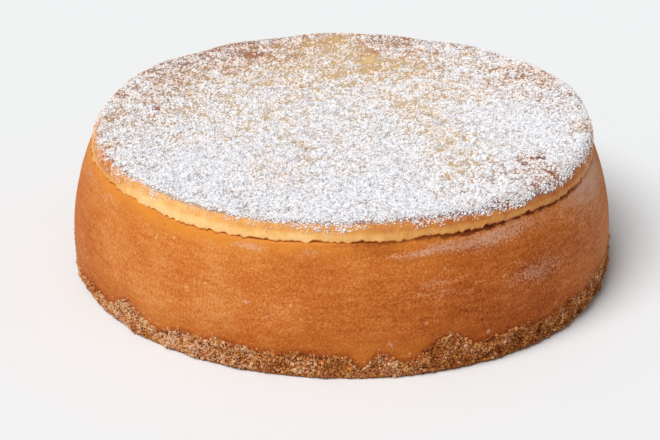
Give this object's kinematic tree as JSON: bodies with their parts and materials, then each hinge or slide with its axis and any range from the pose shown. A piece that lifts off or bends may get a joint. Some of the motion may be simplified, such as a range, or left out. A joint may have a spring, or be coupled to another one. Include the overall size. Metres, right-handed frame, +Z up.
{
  "type": "baked cheesecake",
  "caption": "Whole round baked cheesecake: set custard with a risen lip and a browned side, on a pressed crumb base, for setting on a plate.",
  "frame": {"origin": "middle of the flat underside of the crumb base, on the plate's surface", "axes": "+Z up through the middle of the cake, -Y towards the side that the picture shows, +X to the right in the picture"},
  "size_m": [0.2312, 0.2319, 0.0663],
  "materials": {
    "baked_custard": "satin",
    "biscuit_crumb": "matte",
    "icing_sugar": "matte"
  },
  "bodies": {
    "root": {"custard": "baked_custard", "crumb_base": "biscuit_crumb"}
  },
  "joints": []
}
